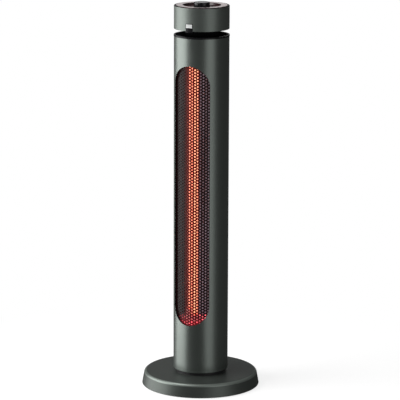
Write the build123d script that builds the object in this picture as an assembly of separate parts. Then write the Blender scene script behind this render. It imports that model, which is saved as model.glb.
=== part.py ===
from build123d import *
import os
from math import acos, asin, atan, cos, degrees, pi, radians, sin, sqrt, tan

# Round-column radiant tower heater on a round base, in millimetres.
# +Z is up, -Y is the front with the window, and the floor is z = 0.

# Running and seating clearances
seat_gap = 0.3
running_gap = 0.06
screw_gap = 0.15

# Base
base_radius = 125.0
base_taper = 3.9
base_height = 30.0
base_skirt = 1.5
base_wall = 3.0
base_shoulder = 7.1
foot_height = 3.0
foot_radius = 9.0
foot_inset = 23.0
plate_thickness = 2.0
boss_radius = 4.0
boss_inset = 12.0
boss_count = 4
ballast_inner = 62.0
ballast_inset = 18.0
ballast_height = 10.0
ballast_opening = 100.0
grommet_bore = 4.0
grommet_wall = 1.6
grommet_flange = 1.0
grommet_lip = 1.6
grommet_height = 16.0

# Turntable, its bearing and its drive
spigot_radius = 20.0
spigot_bore = 14.0
hub_wall = 6.0
bearing_inset = 4.0
bearing_width = 10.0
bearing_height = 2.6
turntable_web = 3.0
skirt_wall = 4.0
gear_module = 1.0
gear_teeth = 56
pinion_teeth = 16
gear_width = 5.0
tooth_backlash = 0.24
pressure_angle = 20.0
motor_radius = 17.5
motor_height = 15.0
motor_ear = 22.0
shaft_radius = 2.5

# Tip-over switch
tip_x = -46.0
tip_y = 65.0
plunger_radius = 3.0
plunger_collar = 4.6
plunger_travel = 4.0
spring_wall = 0.9
tip_wall = 2.0
tip_height = 14.0

# Column
column_radius = 58.0
column_wall = 1.2
column_bottom = 35.9
column_top = 753.3
rim_height = 5.0
collar_height = 12.0
collar_wall = 3.0
window_half = 40.9
window_bottom = 138.5
window_top = 693.0
frame_wall = 1.2
frame_flange = 6.0
guard_recess = 3.1
guard_thickness = 0.8
guard_border = 4.2
hole_pitch = 14.5
hole_size = 9.6
vent_length = 46.0
vent_height = 3.6
vent_pitch = 8.0
vent_margin = 24.0
vent_rows_low = 4
vent_rows_high = 5

# Inside of the column
spine_width = 40.0
spine_depth = 16.0
spine_front = 12.9
sheet = 1.5
reflector_thickness = 0.8
reflector_inset = 14.3
reflector_depth = 15.0
tube_radius = 5.5
tube_wall = 1.0
tube_spacing = 13.2
tube_recess = 14.6
filament_width = 7.0
filament_thickness = 1.2
left_glow_rise = 34.0
right_glow_rise = 22.0
glow_over = 6.0
cap_wall = 1.1
cap_tail = 2.6
floor_rise = 1.5
floor_slope = 21.0
bracket_reach = 7.0
thermostat_radius = 8.0

# Head
top_cap_thickness = 3.0
neck_bottom_radius = 34.0
neck_top_radius = 40.5
neck_wall = 2.5
groove_height = 12.9
head_height = 48.8
head_wall = 1.5
dish_step = 1.1
dish_depth = 3.6
dish_wall = 2.2
dish_collar = 14.0
head_base_thickness = 2.5
ring_inset = 3.5
ring_width = 14.5
ring_thickness = 1.5
knob_radius = 17.0
knob_height = 9.6
knob_wall = 2.5
knob_shaft = 3.0
switch_side = 26.0
switch_height = 12.0
bushing_radius = 5.0
bushing_height = 7.0
nut_flats = 14.0
nut_height = 2.4
board_length = 76.0
board_width = 44.0
board_thickness = 1.6
post_height = 12.0
window_width = 14.0
window_height = 7.6
window_rise = 7.2
holder_border = 1.2
holder_drop = 2.2
holder_depth = 4.0

# Screws, a pan head on a shank
screw_shank = 1.5
screw_head = 3.0
screw_head_height = 1.6
screw_sides = 12

# Levels worked out from the sizes above
plate_bottom = foot_height
plate_top = plate_bottom + plate_thickness
cover_under = base_height - base_wall
foot_circle = base_radius - foot_inset
boss_circle = base_radius - boss_inset
ballast_outer = base_radius - ballast_inset
bearing_outer = column_radius - bearing_inset
bearing_inner = bearing_outer - bearing_width
bearing_top = base_height + bearing_height
turntable_bottom = bearing_top + seat_gap
casing_bottom = column_bottom + rim_height
casing_inner = column_radius - column_wall
collar_radius = casing_inner - seat_gap
ledge = column_bottom + 2.0
gear_top = cover_under - seat_gap - 0.1
gear_bottom = gear_top - gear_width
gear_centre = gear_module * (gear_teeth + pinion_teeth) / 2
top_cap_top = column_top - seat_gap
head_base_bottom = top_cap_top + groove_height + seat_gap
head_bottom = head_base_bottom - seat_gap
head_base_top = head_base_bottom + head_base_thickness
head_top = head_bottom + head_height
head_inner = column_radius - head_wall
dish_top = head_top - dish_step
dish_floor = head_top - dish_depth
ring_outer = column_radius - ring_inset
ring_inner = ring_outer - ring_width
knob_bottom = dish_floor + seat_gap
knob_top = knob_bottom + knob_height
window_base = head_bottom + window_rise
guard_radius = collar_radius - guard_recess
guard_inner = guard_radius - guard_thickness
tube_front = guard_inner - tube_recess
reflector_half = guard_inner - reflector_inset
left_glow = window_bottom + left_glow_rise
right_glow = window_bottom + right_glow_rise
glow_top = window_top + glow_over
floor_front = window_bottom + floor_rise
spine_back = spine_front - sheet


def disc(radius, bottom, top, x=0.0, y=0.0):
    return Pos(x, y, (bottom + top) / 2) * Cylinder(radius, top - bottom)


def tube(outer, inner, bottom, top, x=0.0, y=0.0):
    return disc(outer, bottom, top, x, y) - disc(inner, bottom, top, x, y)


def block(x_low, x_high, y_low, y_high, z_low, z_high):
    centre = Pos((x_low + x_high) / 2, (y_low + y_high) / 2, (z_low + z_high) / 2)
    return centre * Box(x_high - x_low, y_high - y_low, z_high - z_low)


def turned(points, radii=None):
    """A turned solid from its half section, as (radius, height) corners and their fillets."""
    corners = [(r, 0, z) for r, z in points]
    if radii is None:
        outline = Polyline(*corners, close=True)
    else:
        outline = FilletPolyline(*corners, radius=radii, close=True)
    return revolve(make_face(outline), Axis.Z)


def polar(radius, angle):
    return radius * cos(radians(angle)), radius * sin(radians(angle))


def stadium_bar(half_width, grow):
    """The window's rounded outline, grown on every side, as a bar that runs to the front."""
    low = window_bottom + half_width
    high = window_top - half_width
    width = 2 * (half_width + grow)
    length = high - low + width
    outline = Plane.XZ * Pos(0, (low + high) / 2) * SlotOverall(length, width, rotation=90)
    return extrude(outline, column_radius + 10)


def pan_screw(length):
    """A pan-head screw with its head above its seat at zero and its shank below."""
    head = extrude(RegularPolygon(screw_head, screw_sides), screw_head_height)
    return head + extrude(RegularPolygon(screw_shank, screw_sides), -length)


def screw_down(x, y, seat, length):
    """A pan-head screw that points up, with its head under the level of its seat."""
    return Pos(x, y, seat) * Rot(180, 0, 0) * pan_screw(length)


def side_radius(z):
    """Outer radius of the base's tapered side at a height."""
    rise = base_height - base_shoulder - base_skirt
    return base_radius - base_taper * (z - base_skirt) / rise


# Base
def boss_places():
    return [polar(boss_circle, 45 + 360 / boss_count * i) for i in range(boss_count)]


def foot_places():
    return [polar(foot_circle, 360 / boss_count * i) for i in range(boss_count)]


def grommet_place():
    """Axis of the cord's inlet, square to the tapered side at the rear."""
    lean = degrees(atan(base_taper / (base_height - base_shoulder - base_skirt)))
    return Pos(0, side_radius(grommet_height), grommet_height) * Rot(-90 + lean, 0, 0)


def grommet_stage(radius, inward, outward):
    return grommet_place() * Pos(0, 0, (outward - inward) / 2) * Cylinder(radius, outward + inward)


def base_cover():
    corner = side_radius(base_height)
    wall = base_wall
    shell = turned(
        [
            (spigot_radius + running_gap, base_height),
            (corner, base_height),
            (base_radius, base_skirt),
            (base_radius - wall, base_skirt),
            (corner - wall, cover_under),
            (spigot_radius + running_gap, cover_under),
        ],
        [0, base_shoulder, 0.8, 0, base_shoulder - wall, 0],
    )
    hub_outer = spigot_radius + hub_wall
    shell += tube(hub_outer, spigot_radius + running_gap, base_height, bearing_top)
    for x, y in boss_places():
        shell += disc(boss_radius, plate_top, cover_under + 0.5, x, y)
        shell -= disc(screw_shank + screw_gap, plate_top, cover_under - 2, x, y)
    shell -= grommet_stage(grommet_bore + grommet_wall + screw_gap, base_wall * 3, base_wall * 2)
    return shell


def base_plate():
    radius = side_radius(plate_top) - base_wall - seat_gap - 0.3
    plate = disc(radius, plate_bottom, plate_top)
    for x, y in boss_places():
        plate -= disc(screw_shank + screw_gap, plate_bottom, plate_top, x, y)
    for x, y in foot_places():
        plate -= disc(foot_radius / 3 + screw_gap, plate_bottom, plate_top, x, y)
    for x, y in motor_screw_places():
        plate -= disc(screw_shank + screw_gap, plate_bottom, plate_top, x, y)
    plate -= disc(plunger_radius + seat_gap, plate_bottom, plate_top, tip_x, tip_y)
    return plate


def ballast_weight():
    half = ballast_opening / 2
    ring = tube(ballast_outer, ballast_inner, plate_top, plate_top + ballast_height)
    reach = ballast_outer * 1.6
    left = polar(reach, 90 + half)
    right = polar(reach, 90 - half)
    wedge = make_face(Polyline((0, 0), right, (0, reach * 1.4), left, close=True))
    return ring - Pos(0, 0, plate_top) * extrude(wedge, ballast_height)


def rubber_feet():
    feet = []
    for x, y in foot_places():
        pad = disc(foot_radius, 0, foot_height, x, y)
        stem = disc(foot_radius / 3, foot_height, plate_top, x, y)
        feet.append(pad + stem)
    return Compound(feet)


def base_screws():
    length = cover_under - 6 - plate_bottom
    return Compound([screw_down(x, y, plate_bottom, length) for x, y in boss_places()])


def cord_grommet():
    body = grommet_bore + grommet_wall
    inner_reach = base_wall + 2 * grommet_flange
    bush = grommet_stage(body, inner_reach, seat_gap)
    lip = Cylinder(body + grommet_lip, grommet_flange)
    bush += grommet_place() * Pos(0, 0, seat_gap + grommet_flange / 2) * lip
    return bush - grommet_stage(grommet_bore, inner_reach + 1, grommet_flange + 2)


def bearing_ring():
    return tube(bearing_outer, bearing_inner, base_height, bearing_top)


# Drive
def involute(angle):
    return tan(angle) - angle


def gear_outline(teeth, bottom):
    """A spur gear's outline with involute flanks, as a face at a level."""
    pitch_r = gear_module * teeth / 2
    base_r = pitch_r * cos(radians(pressure_angle))
    tip_r = pitch_r + 0.92 * gear_module
    root_r = pitch_r - 1.25 * gear_module
    half = pi / (2 * teeth) - tooth_backlash / (2 * pitch_r)
    at_base = half + involute(radians(pressure_angle))
    flank = [(root_r, at_base - involute(acos(min(1.0, base_r / max(root_r, base_r)))))]
    for radius in (pitch_r, tip_r):
        flank.append((radius, at_base - involute(acos(min(1.0, base_r / radius)))))
    points = []
    for i in range(teeth):
        middle = 2 * pi * i / teeth
        for radius, angle in flank:
            points.append((radius * cos(middle - angle), radius * sin(middle - angle)))
        for radius, angle in reversed(flank):
            points.append((radius * cos(middle + angle), radius * sin(middle + angle)))
    return Pos(0, 0, bottom) * make_face(Polyline(*points, close=True))


def turntable_gear():
    gear = extrude(gear_outline(gear_teeth, gear_bottom), gear_width)
    return gear - disc(spigot_bore, gear_bottom, gear_top)


def drive_pinion():
    turn = 180 + 180 / pinion_teeth
    gear = Rot(0, 0, turn) * extrude(gear_outline(pinion_teeth, gear_bottom), gear_width)
    gear -= disc(shaft_radius + running_gap, gear_bottom, gear_top)
    return Pos(gear_centre, 0, 0) * gear


def motor_shaft():
    return disc(shaft_radius, plate_top + 7, gear_top - 0.2, gear_centre)


def motor_screw_places():
    return [(gear_centre, motor_ear), (gear_centre, -motor_ear)]


def oscillation_motor():
    top = plate_top + motor_height
    can = disc(motor_radius, plate_top, top, gear_centre)
    can += disc(shaft_radius + 2, top, top + 1, gear_centre)
    for x, y in motor_screw_places():
        can += disc(4.5, plate_top, plate_top + 1.2, x, y)
        inward = y * motor_radius / motor_ear * 0.8
        can += block(x - 4.5, x + 4.5, min(y, inward), max(y, inward), plate_top, plate_top + 1.2)
    for x, y in motor_screw_places():
        can -= disc(screw_shank + screw_gap, plate_top, plate_top + 1.2, x, y)
    return can - disc(shaft_radius + running_gap, plate_top + 7 - seat_gap, top + 1, gear_centre)


def motor_screws():
    return Compound([screw_down(x, y, plate_bottom, 6.0) for x, y in motor_screw_places()])


# Tip-over switch
spring_outer = plunger_collar
spring_inner = spring_outer - spring_wall
collar_level = plate_top + plunger_travel + 0.5
collar_top = collar_level + 1.5
spring_top = plate_top + tip_height - tip_wall


def tip_switch_housing():
    half = plunger_collar + seat_gap + tip_wall
    box = block(tip_x - half, tip_x + half, tip_y - half, tip_y + half, plate_top, plate_top + tip_height)
    return box - disc(plunger_collar + seat_gap, plate_top, spring_top, tip_x, tip_y)


def tip_plunger():
    pin = disc(plunger_radius, 0, collar_top, tip_x, tip_y)
    pin += disc(plunger_collar, collar_level, collar_top, tip_x, tip_y)
    pin += disc(spring_inner - 0.4, collar_top, spring_top - 2.0, tip_x, tip_y)
    return chamfer(pin.edges().sort_by(Axis.Z)[0], 0.5)


def tip_spring():
    return tube(spring_outer, spring_inner, collar_top, spring_top, tip_x, tip_y)


def tip_microswitch():
    half = plunger_collar + seat_gap + tip_wall
    left = tip_x + half
    body = block(left, left + 6.5, tip_y - 10, tip_y + 10, plate_top, plate_top + 10.5)
    for offset in (-6.5, 0.0, 6.5):
        body += block(left + 2, left + 4.5, tip_y + offset - 0.4, tip_y + offset + 0.4,
                      plate_top + 10.5, plate_top + 15)
    return body


# Turntable and column
casing_screw_angles = (62, 118)
lower_screw_level = ledge + collar_height - 4
upper_screw_level = top_cap_top - top_cap_thickness - collar_height + 4


def radial(angle):
    """A place on the axis that looks outwards at an angle in plan, with its Z along that line."""
    return Rot(0, 0, angle) * Rot(0, 90, 0)


def casing_screw_holes(level, radius):
    """The radial holes at one level that the casing's screws pass or bite into."""
    holes = []
    for angle in casing_screw_angles:
        drill = Cylinder(radius, 14)
        holes.append(Pos(0, 0, level) * radial(angle) * Pos(0, 0, casing_inner) * drill)
    return holes


def turntable():
    disc_part = turned(
        [
            (spigot_bore, gear_top),
            (spigot_radius, gear_top),
            (spigot_radius, ledge - turntable_web),
            (bearing_outer - skirt_wall, ledge - turntable_web),
            (bearing_outer - skirt_wall, turntable_bottom),
            (bearing_outer, turntable_bottom),
            (bearing_outer, ledge),
            (collar_radius, ledge),
            (collar_radius, ledge + collar_height),
            (collar_radius - collar_wall, ledge + collar_height),
            (collar_radius - collar_wall, ledge),
            (spigot_bore, ledge),
        ]
    )
    return disc_part - casing_screw_holes(lower_screw_level, screw_shank + screw_gap)


def foot_rim():
    return turned(
        [
            (bearing_outer + seat_gap, column_bottom),
            (column_radius, column_bottom),
            (column_radius, casing_bottom),
            (collar_radius + seat_gap, casing_bottom),
            (collar_radius + seat_gap, ledge - seat_gap),
            (bearing_outer + seat_gap, ledge - seat_gap),
        ],
        [0, 1.3, 0, 0, 0, 0],
    )


def vent_rows():
    low = [casing_bottom + vent_margin + vent_pitch * i for i in range(vent_rows_low)]
    high = [upper_screw_level - vent_margin - vent_pitch * i for i in range(vent_rows_high)]
    return low + high


def column_casing():
    casing = tube(column_radius, casing_inner, casing_bottom, column_top)
    casing -= stadium_bar(window_half, 0)
    for level in vent_rows():
        slot = Plane.XZ * Pos(0, level) * SlotOverall(vent_length, vent_height)
        casing -= extrude(slot, -(column_radius + 5))
    for level in (lower_screw_level, upper_screw_level):
        casing -= casing_screw_holes(level, screw_shank + screw_gap)
    return casing


def casing_screws():
    seat = column_radius + 0.05
    length = column_wall + seat_gap + collar_wall + 0.5
    screw = Pos(0, 0, seat) * pan_screw(length)
    levels = (lower_screw_level, upper_screw_level)
    return Compound([Pos(0, 0, level) * radial(angle) * screw
                     for level in levels for angle in casing_screw_angles])


def window_frame():
    outer_band = tube(collar_radius, collar_radius - frame_wall, casing_bottom, column_top)
    lip_band = tube(collar_radius, guard_radius + seat_gap, casing_bottom, column_top)
    opening = stadium_bar(window_half, 0)
    flange = (stadium_bar(window_half, frame_flange) - opening) & outer_band
    lip = (stadium_bar(window_half, frame_wall) - opening) & lip_band
    return flange + lip


def guard_columns():
    """Angles of the columns of holes, from one side of the window to the other."""
    step = degrees(hole_pitch * sqrt(3) / 2 / guard_radius)
    count = int(degrees(asin((window_half + guard_border) / guard_radius)) / step - 0.5)
    return step, [step * i for i in range(-count, count + 1)]


def guard_holes():
    """Rows and columns of staggered hexagonal holes that fit inside the window."""
    step, columns = guard_columns()
    centre = (window_bottom + window_top) / 2
    rows = int((window_top - window_bottom) / hole_pitch / 2) + 2
    edge = window_half - hole_size / 2 - 1.0
    places = []
    for angle in columns:
        across = guard_radius * sin(radians(angle))
        if abs(across) > edge:
            continue
        bow = sqrt(edge ** 2 - across ** 2)
        high = window_top - window_half + bow
        low = window_bottom + window_half - bow
        stagger = 0.5 * (round(angle / step) % 2)
        levels = [centre + (row + stagger) * hole_pitch for row in range(-rows, rows + 1)]
        places += [(angle, level) for level in levels if low <= level <= high]
    return places


def guard_mesh():
    """The rolled guard, bent in flats, one for each column of holes."""
    step, columns = guard_columns()
    edge = degrees(asin((window_half + guard_border) / guard_radius))
    bends = [-edge] + [columns[0] - step / 2 + step * i for i in range(len(columns) + 1)] + [edge]
    outer = [polar(guard_radius, angle - 90) for angle in bends]
    inner = [polar(guard_inner, angle - 90) for angle in reversed(bends)]
    band = extrude(make_face(Polyline(*outer, *inner, close=True)), column_top)
    sheet_part = band & stadium_bar(window_half, guard_border)
    hexagon = extrude(RegularPolygon(hole_size / 2, 6, major_radius=False), guard_thickness * 4)
    tools = []
    for angle, level in guard_holes():
        place = Pos(0, 0, level) * radial(angle - 90) * Pos(0, 0, guard_inner - guard_thickness * 2)
        tools.append(place * Rot(0, 0, 30) * hexagon)
    return sheet_part - tools


# Inside of the column
floor_back = floor_front + (guard_inner - spine_front) * tan(radians(floor_slope))
bracket_level = floor_front + 0.6
ceiling_level = glow_top + 14.0
spine_top = column_top - top_cap_thickness - seat_gap * 2


def tube_places():
    return [(-tube_spacing / 2, -tube_front), (tube_spacing / 2, -tube_front)]


def rear_spine():
    half = spine_width / 2
    web = block(-half, half, -spine_front, -spine_back, ledge, spine_top)
    side = block(-half, -half + sheet, -spine_back, spine_depth - spine_back, ledge, spine_top)
    other = block(half - sheet, half, -spine_back, spine_depth - spine_back, ledge, spine_top)
    return web + side + other


def reflector():
    """A thin curved trough with its open side to the front."""
    back = -(spine_front + seat_gap)
    front = back - reflector_depth
    inner = ThreePointArc((-reflector_half, front), (0, back - reflector_thickness), (reflector_half, front))
    outer = ThreePointArc((-reflector_half - 0.6, front + 0.6), (0, back), (reflector_half + 0.6, front + 0.6))
    face = make_face([inner, outer, Line(inner @ 0, outer @ 0), Line(inner @ 1, outer @ 1)])
    low = floor_back + sheet + seat_gap
    return Pos(0, 0, low) * extrude(face, ceiling_level - seat_gap - low)


def tube_bracket(level, upper):
    """A bent plate on the spine with a hole for each tube cap's tail."""
    half = spine_width / 2 - 4
    reach = tube_front + bracket_reach
    plate = block(-half, half, -reach, -spine_front - seat_gap, level - sheet, level)
    tab_end = level - sheet - 12 if not upper else level + 12
    tab = block(-half, half, -spine_front - seat_gap - sheet, -spine_front - seat_gap,
                min(level, tab_end), max(level, tab_end))
    plate += tab
    for x, y in tube_places():
        plate -= disc(cap_tail + screw_gap, level - sheet, level, x, y)
    return plate


def chamber_floor():
    """A sloped plate that closes the chamber from below and carries light to the front."""
    back = -(spine_front + seat_gap)
    corners = [(-guard_inner, floor_front), (back, floor_back)]
    corners += [(back, floor_back + sheet), (-guard_inner, floor_front + sheet)]
    plate = extrude(Plane.YZ * make_face(Polyline(*corners, close=True)), guard_inner, both=True)
    plate &= disc(guard_inner - seat_gap, floor_front, floor_back + sheet)
    for x, y in tube_places():
        plate -= disc(cap_radius + seat_gap, floor_front, floor_back + sheet, x, y)
    return plate


def chamber_ceiling():
    plate = disc(guard_inner - seat_gap, ceiling_level, ceiling_level + 1)
    plate &= block(-60, 60, -60, -spine_front - seat_gap, ceiling_level, ceiling_level + 1)
    for x, y in tube_places():
        plate -= disc(cap_radius + seat_gap, ceiling_level, ceiling_level + 1, x, y)
    return plate


cap_radius = tube_radius + cap_wall
tube_low = bracket_level + 8
tube_high = glow_top + 8
upper_bracket_level = tube_high + 12


def quartz_tube(x):
    return tube(tube_radius, tube_radius - tube_wall, tube_low, tube_high, x, -tube_front)


def carbon_filament(x, low):
    ribbon = block(x - filament_width / 2, x + filament_width / 2,
                   -tube_front - filament_thickness / 2, -tube_front + filament_thickness / 2,
                   low, glow_top)
    lead_low = disc(0.8, tube_low + 1, low, x, -tube_front)
    lead_high = disc(0.8, glow_top, tube_high - 1, x, -tube_front)
    return ribbon + lead_low + lead_high


def lower_cap(x, shoulder):
    cap = disc(cap_radius, bracket_level, shoulder, x, -tube_front)
    cap += disc(cap_tail, bracket_level - 6, bracket_level, x, -tube_front)
    cap -= disc(tube_radius + screw_gap, tube_low - seat_gap, shoulder, x, -tube_front)
    return cap


def upper_cap(x):
    top = upper_bracket_level - sheet
    cap = disc(cap_radius, glow_top + 2, top, x, -tube_front)
    cap += disc(cap_tail, top, top + 8, x, -tube_front)
    cap -= disc(tube_radius + screw_gap, glow_top + 2, tube_high + seat_gap, x, -tube_front)
    return cap


def lower_tube_caps():
    shoulders = (left_glow - 1, right_glow - 1)
    return Compound([lower_cap(x, shoulder) for (x, y), shoulder in zip(tube_places(), shoulders)])


def upper_tube_caps():
    return Compound([upper_cap(x) for x, y in tube_places()])


def thermal_cutout():
    level = ceiling_level - 60
    place = Pos(0, -spine_back, level) * Rot(-90, 0, 0)
    can = Pos(0, 0, 2.5) * Cylinder(thermostat_radius, 5)
    flange = Pos(0, 0, 0.5) * Box(24, 9, 1)
    lugs = [Pos(x, 0, 7) * Box(0.8, 6, 4) for x in (-4, 4)]
    return place * (can + flange + lugs[0] + lugs[1])


# Head
def column_top_cap():
    under = top_cap_top - top_cap_thickness
    cap = turned(
        [
            (12, top_cap_top),
            (collar_radius, top_cap_top),
            (collar_radius, under - collar_height),
            (collar_radius - collar_wall, under - collar_height),
            (collar_radius - collar_wall, under),
            (12, under),
        ]
    )
    return cap - casing_screw_holes(upper_screw_level, screw_shank + screw_gap)


def neck():
    top = head_base_bottom
    return turned(
        [
            (neck_bottom_radius - neck_wall, top_cap_top),
            (neck_bottom_radius, top_cap_top),
            (neck_top_radius, top),
            (neck_top_radius - neck_wall, top),
        ]
    )


def receiver_notch(grow, depth):
    half = window_width / 2 + holder_border + grow
    return block(-half, half, -column_radius - 3, -depth, head_bottom - holder_drop - 1,
                 window_base + window_height + holder_border + grow)


def head_base():
    plate = tube(head_inner - seat_gap, 12, head_base_bottom, head_base_top)
    return plate - receiver_notch(screw_gap, column_radius - holder_depth - seat_gap)


def head_shell():
    shell = turned(
        [
            (head_inner, head_bottom),
            (column_radius, head_bottom),
            (column_radius, head_top),
            (head_inner, head_top),
        ],
        [0, 0.6, 1.2, 0],
    )
    return shell - receiver_notch(screw_gap, column_radius - 12)


def control_dish():
    floor_under = dish_floor - dish_wall
    rim = head_inner - seat_gap
    return turned(
        [
            (bushing_radius + screw_gap, floor_under),
            (ring_inner, floor_under),
            (ring_inner + dish_wall, dish_top - dish_wall),
            (rim - dish_wall, dish_top - dish_wall),
            (rim - dish_wall, dish_top - dish_collar),
            (rim, dish_top - dish_collar),
            (rim, dish_top),
            (ring_inner - 0.6, dish_top),
            (ring_inner - dish_wall, dish_floor),
            (bushing_radius + screw_gap, dish_floor),
        ]
    )


def trim_ring():
    top = dish_top + ring_thickness
    return turned(
        [
            (ring_inner, dish_top),
            (ring_outer, dish_top),
            (ring_outer, top - 0.5),
            (ring_outer - 0.5, top),
            (ring_inner + 0.5, top),
            (ring_inner, top - 0.5),
        ]
    )


switch_top = dish_floor - dish_wall
bushing_top = switch_top + bushing_height
shaft_bottom = switch_top - 6.0
board_top = head_base_top + post_height


def rotary_switch():
    half = switch_side / 2
    body = block(-half, half, -half, half, switch_top - switch_height, switch_top)
    body += disc(bushing_radius, switch_top, bushing_top)
    return body - disc(knob_shaft + running_gap, shaft_bottom - seat_gap, bushing_top)


def switch_nut():
    nut = extrude(RegularPolygon(nut_flats / 2, 6, major_radius=False), nut_height)
    nut = Pos(0, 0, dish_floor) * nut
    return nut - disc(bushing_radius + running_gap, dish_floor, dish_floor + nut_height)


def knob_spindle():
    return disc(knob_shaft, shaft_bottom, knob_top - knob_wall - 0.2)


def control_knob():
    under = knob_top - knob_wall
    knob = turned(
        [
            (0, under),
            (knob_radius - knob_wall, under),
            (knob_radius - knob_wall, knob_bottom),
            (knob_radius, knob_bottom),
            (knob_radius - 0.6, knob_top),
            (0, knob_top),
        ],
        [0, 0, 0, 0.4, 1.2, 0],
    )
    boss = tube(knob_shaft + 2.5, knob_shaft + running_gap, bushing_top + seat_gap, under + 0.2)
    pointer = block(-0.7, 0.7, -knob_radius + 2, -knob_radius + 10, knob_top - 0.6, knob_top + 1)
    return knob + boss - pointer


def control_board():
    half_l = board_length / 2
    half_w = board_width / 2
    board = block(-half_l, half_l, -half_w, half_w, board_top, board_top + board_thickness)
    parts_top = board_top + board_thickness
    for x, y, wide, deep, tall in ((-26, 8, 18, 14, 9), (24, 10, 14, 18, 7), (24, -12, 10, 8, 8),
                                   (-24, -12, 16, 8, 4)):
        board += block(x - wide / 2, x + wide / 2, y - deep / 2, y + deep / 2, parts_top, parts_top + tall)
    for x, y in board_post_places():
        board -= disc(screw_shank + screw_gap, board_top, parts_top, x, y)
    return board


def board_post_places():
    return [(x, y) for x in (-board_length / 2 + 4, board_length / 2 - 4)
            for y in (-board_width / 2 + 4, board_width / 2 - 4)]


def board_posts():
    posts = []
    for x, y in board_post_places():
        post = block(x - 3, x + 3, y - 3, y + 3, head_base_top, board_top)
        pin = Pos(x, y, board_top) * extrude(RegularPolygon(screw_shank, screw_sides), board_thickness + 0.8)
        posts.append(post + pin)
    return Compound(posts)


def receiver_holder():
    half = window_width / 2 + holder_border
    low = head_bottom - holder_drop
    high = window_base + window_height + holder_border
    outer = disc(column_radius + 0.1, low, high)
    body = outer & block(-half, half, -column_radius - 2, -column_radius + holder_depth, low, high)
    slot = window_width / 2 + screw_gap
    return body - block(-slot, slot, -column_radius - 2, -column_radius + holder_depth,
                        window_base - screw_gap, window_base + window_height + screw_gap)


def receiver_window():
    half = window_width / 2
    outer = disc(column_radius + 0.3, window_base, window_base + window_height)
    return outer & block(-half, half, -column_radius - 2, -column_radius + holder_depth - 0.5,
                         window_base, window_base + window_height)


def all_parts():
    left, right = [x for x, y in tube_places()]
    return {
        "base_cover": base_cover(),
        "base_plate": base_plate(),
        "ballast_weight": ballast_weight(),
        "rubber_feet": rubber_feet(),
        "base_screws": base_screws(),
        "cord_grommet": cord_grommet(),
        "bearing_ring": bearing_ring(),
        "oscillation_motor": oscillation_motor(),
        "motor_screws": motor_screws(),
        "motor_shaft": motor_shaft(),
        "drive_pinion": drive_pinion(),
        "tip_switch_housing": tip_switch_housing(),
        "tip_microswitch": tip_microswitch(),
        "tip_spring": tip_spring(),
        "tip_plunger": tip_plunger(),
        "turntable": turntable(),
        "turntable_gear": turntable_gear(),
        "foot_rim": foot_rim(),
        "column_casing": column_casing(),
        "casing_screws": casing_screws(),
        "window_frame": window_frame(),
        "guard_mesh": guard_mesh(),
        "rear_spine": rear_spine(),
        "reflector": reflector(),
        "lower_tube_bracket": tube_bracket(bracket_level, False),
        "upper_tube_bracket": tube_bracket(upper_bracket_level, True),
        "chamber_floor": chamber_floor(),
        "chamber_ceiling": chamber_ceiling(),
        "quartz_tube_left": quartz_tube(left),
        "quartz_tube_right": quartz_tube(right),
        "carbon_filament_left": carbon_filament(left, left_glow),
        "carbon_filament_right": carbon_filament(right, right_glow),
        "lower_tube_caps": lower_tube_caps(),
        "upper_tube_caps": upper_tube_caps(),
        "thermal_cutout": thermal_cutout(),
        "column_top_cap": column_top_cap(),
        "neck": neck(),
        "head_base": head_base(),
        "head_shell": head_shell(),
        "control_dish": control_dish(),
        "trim_ring": trim_ring(),
        "rotary_switch": rotary_switch(),
        "switch_nut": switch_nut(),
        "knob_spindle": knob_spindle(),
        "control_knob": control_knob(),
        "control_board": control_board(),
        "board_posts": board_posts(),
        "receiver_holder": receiver_holder(),
        "receiver_window": receiver_window(),
    }


os.makedirs("parts", exist_ok=True)
for name, shape in all_parts().items():
    export_step(shape, "parts/" + name + ".step")
    print(name, round(shape.volume, 1), len(shape.solids()))
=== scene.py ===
"""Guard, glowing tubes, finishes and studio for a round tower heater."""

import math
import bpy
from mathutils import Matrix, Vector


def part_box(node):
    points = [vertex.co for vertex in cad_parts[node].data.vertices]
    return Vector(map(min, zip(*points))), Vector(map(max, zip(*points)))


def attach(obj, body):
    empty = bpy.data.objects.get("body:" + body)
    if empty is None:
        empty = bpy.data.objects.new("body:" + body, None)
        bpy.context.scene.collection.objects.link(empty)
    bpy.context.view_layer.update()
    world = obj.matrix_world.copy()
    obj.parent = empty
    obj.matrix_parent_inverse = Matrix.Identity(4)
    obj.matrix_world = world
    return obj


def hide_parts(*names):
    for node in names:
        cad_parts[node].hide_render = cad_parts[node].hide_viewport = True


bl_info = {
    "name": "Tower heater dressing",
    "version": (1, 0, 0),
    "blender": (4, 5, 0),
    "location": "View3D > Sidebar > Heater",
    "description": "Adds the guard, glowing tubes, finishes and studio to the packed tower heater",
    "category": "Object",
}

import bmesh
import bpy
from mathutils import Matrix, Vector

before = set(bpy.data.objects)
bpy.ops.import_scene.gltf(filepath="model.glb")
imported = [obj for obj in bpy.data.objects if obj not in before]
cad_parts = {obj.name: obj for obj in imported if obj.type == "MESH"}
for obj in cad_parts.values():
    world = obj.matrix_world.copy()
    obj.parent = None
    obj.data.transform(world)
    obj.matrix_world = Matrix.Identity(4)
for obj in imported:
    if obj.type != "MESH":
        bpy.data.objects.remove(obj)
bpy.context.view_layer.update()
guard_low, guard_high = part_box("guard_mesh")
_, casing_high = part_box("column_casing")
_, cap_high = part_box("column_top_cap")
_, ring_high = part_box("trim_ring")
left_low, left_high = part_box("carbon_filament_left")
right_low, right_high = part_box("carbon_filament_right")

# Grid of the guard's holes, in metres: pairs of staggered columns, counted from the left
HOLE_SIDES = 8
COLUMN_PAIRS = 9
COLUMNS_LEFT_OF_MIDDLE = 8
GRID_SHIFT = -0.0004
# Points nearer than this become one
MERGE = 0.00001

# Steps of one turn of a wound band, and sides of its round leads, the trim and the floor
COIL_STEPS = 12
LEAD_SIDES = 8
TRIM_SIDES = 128
FLOOR_SIDES = 96

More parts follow.
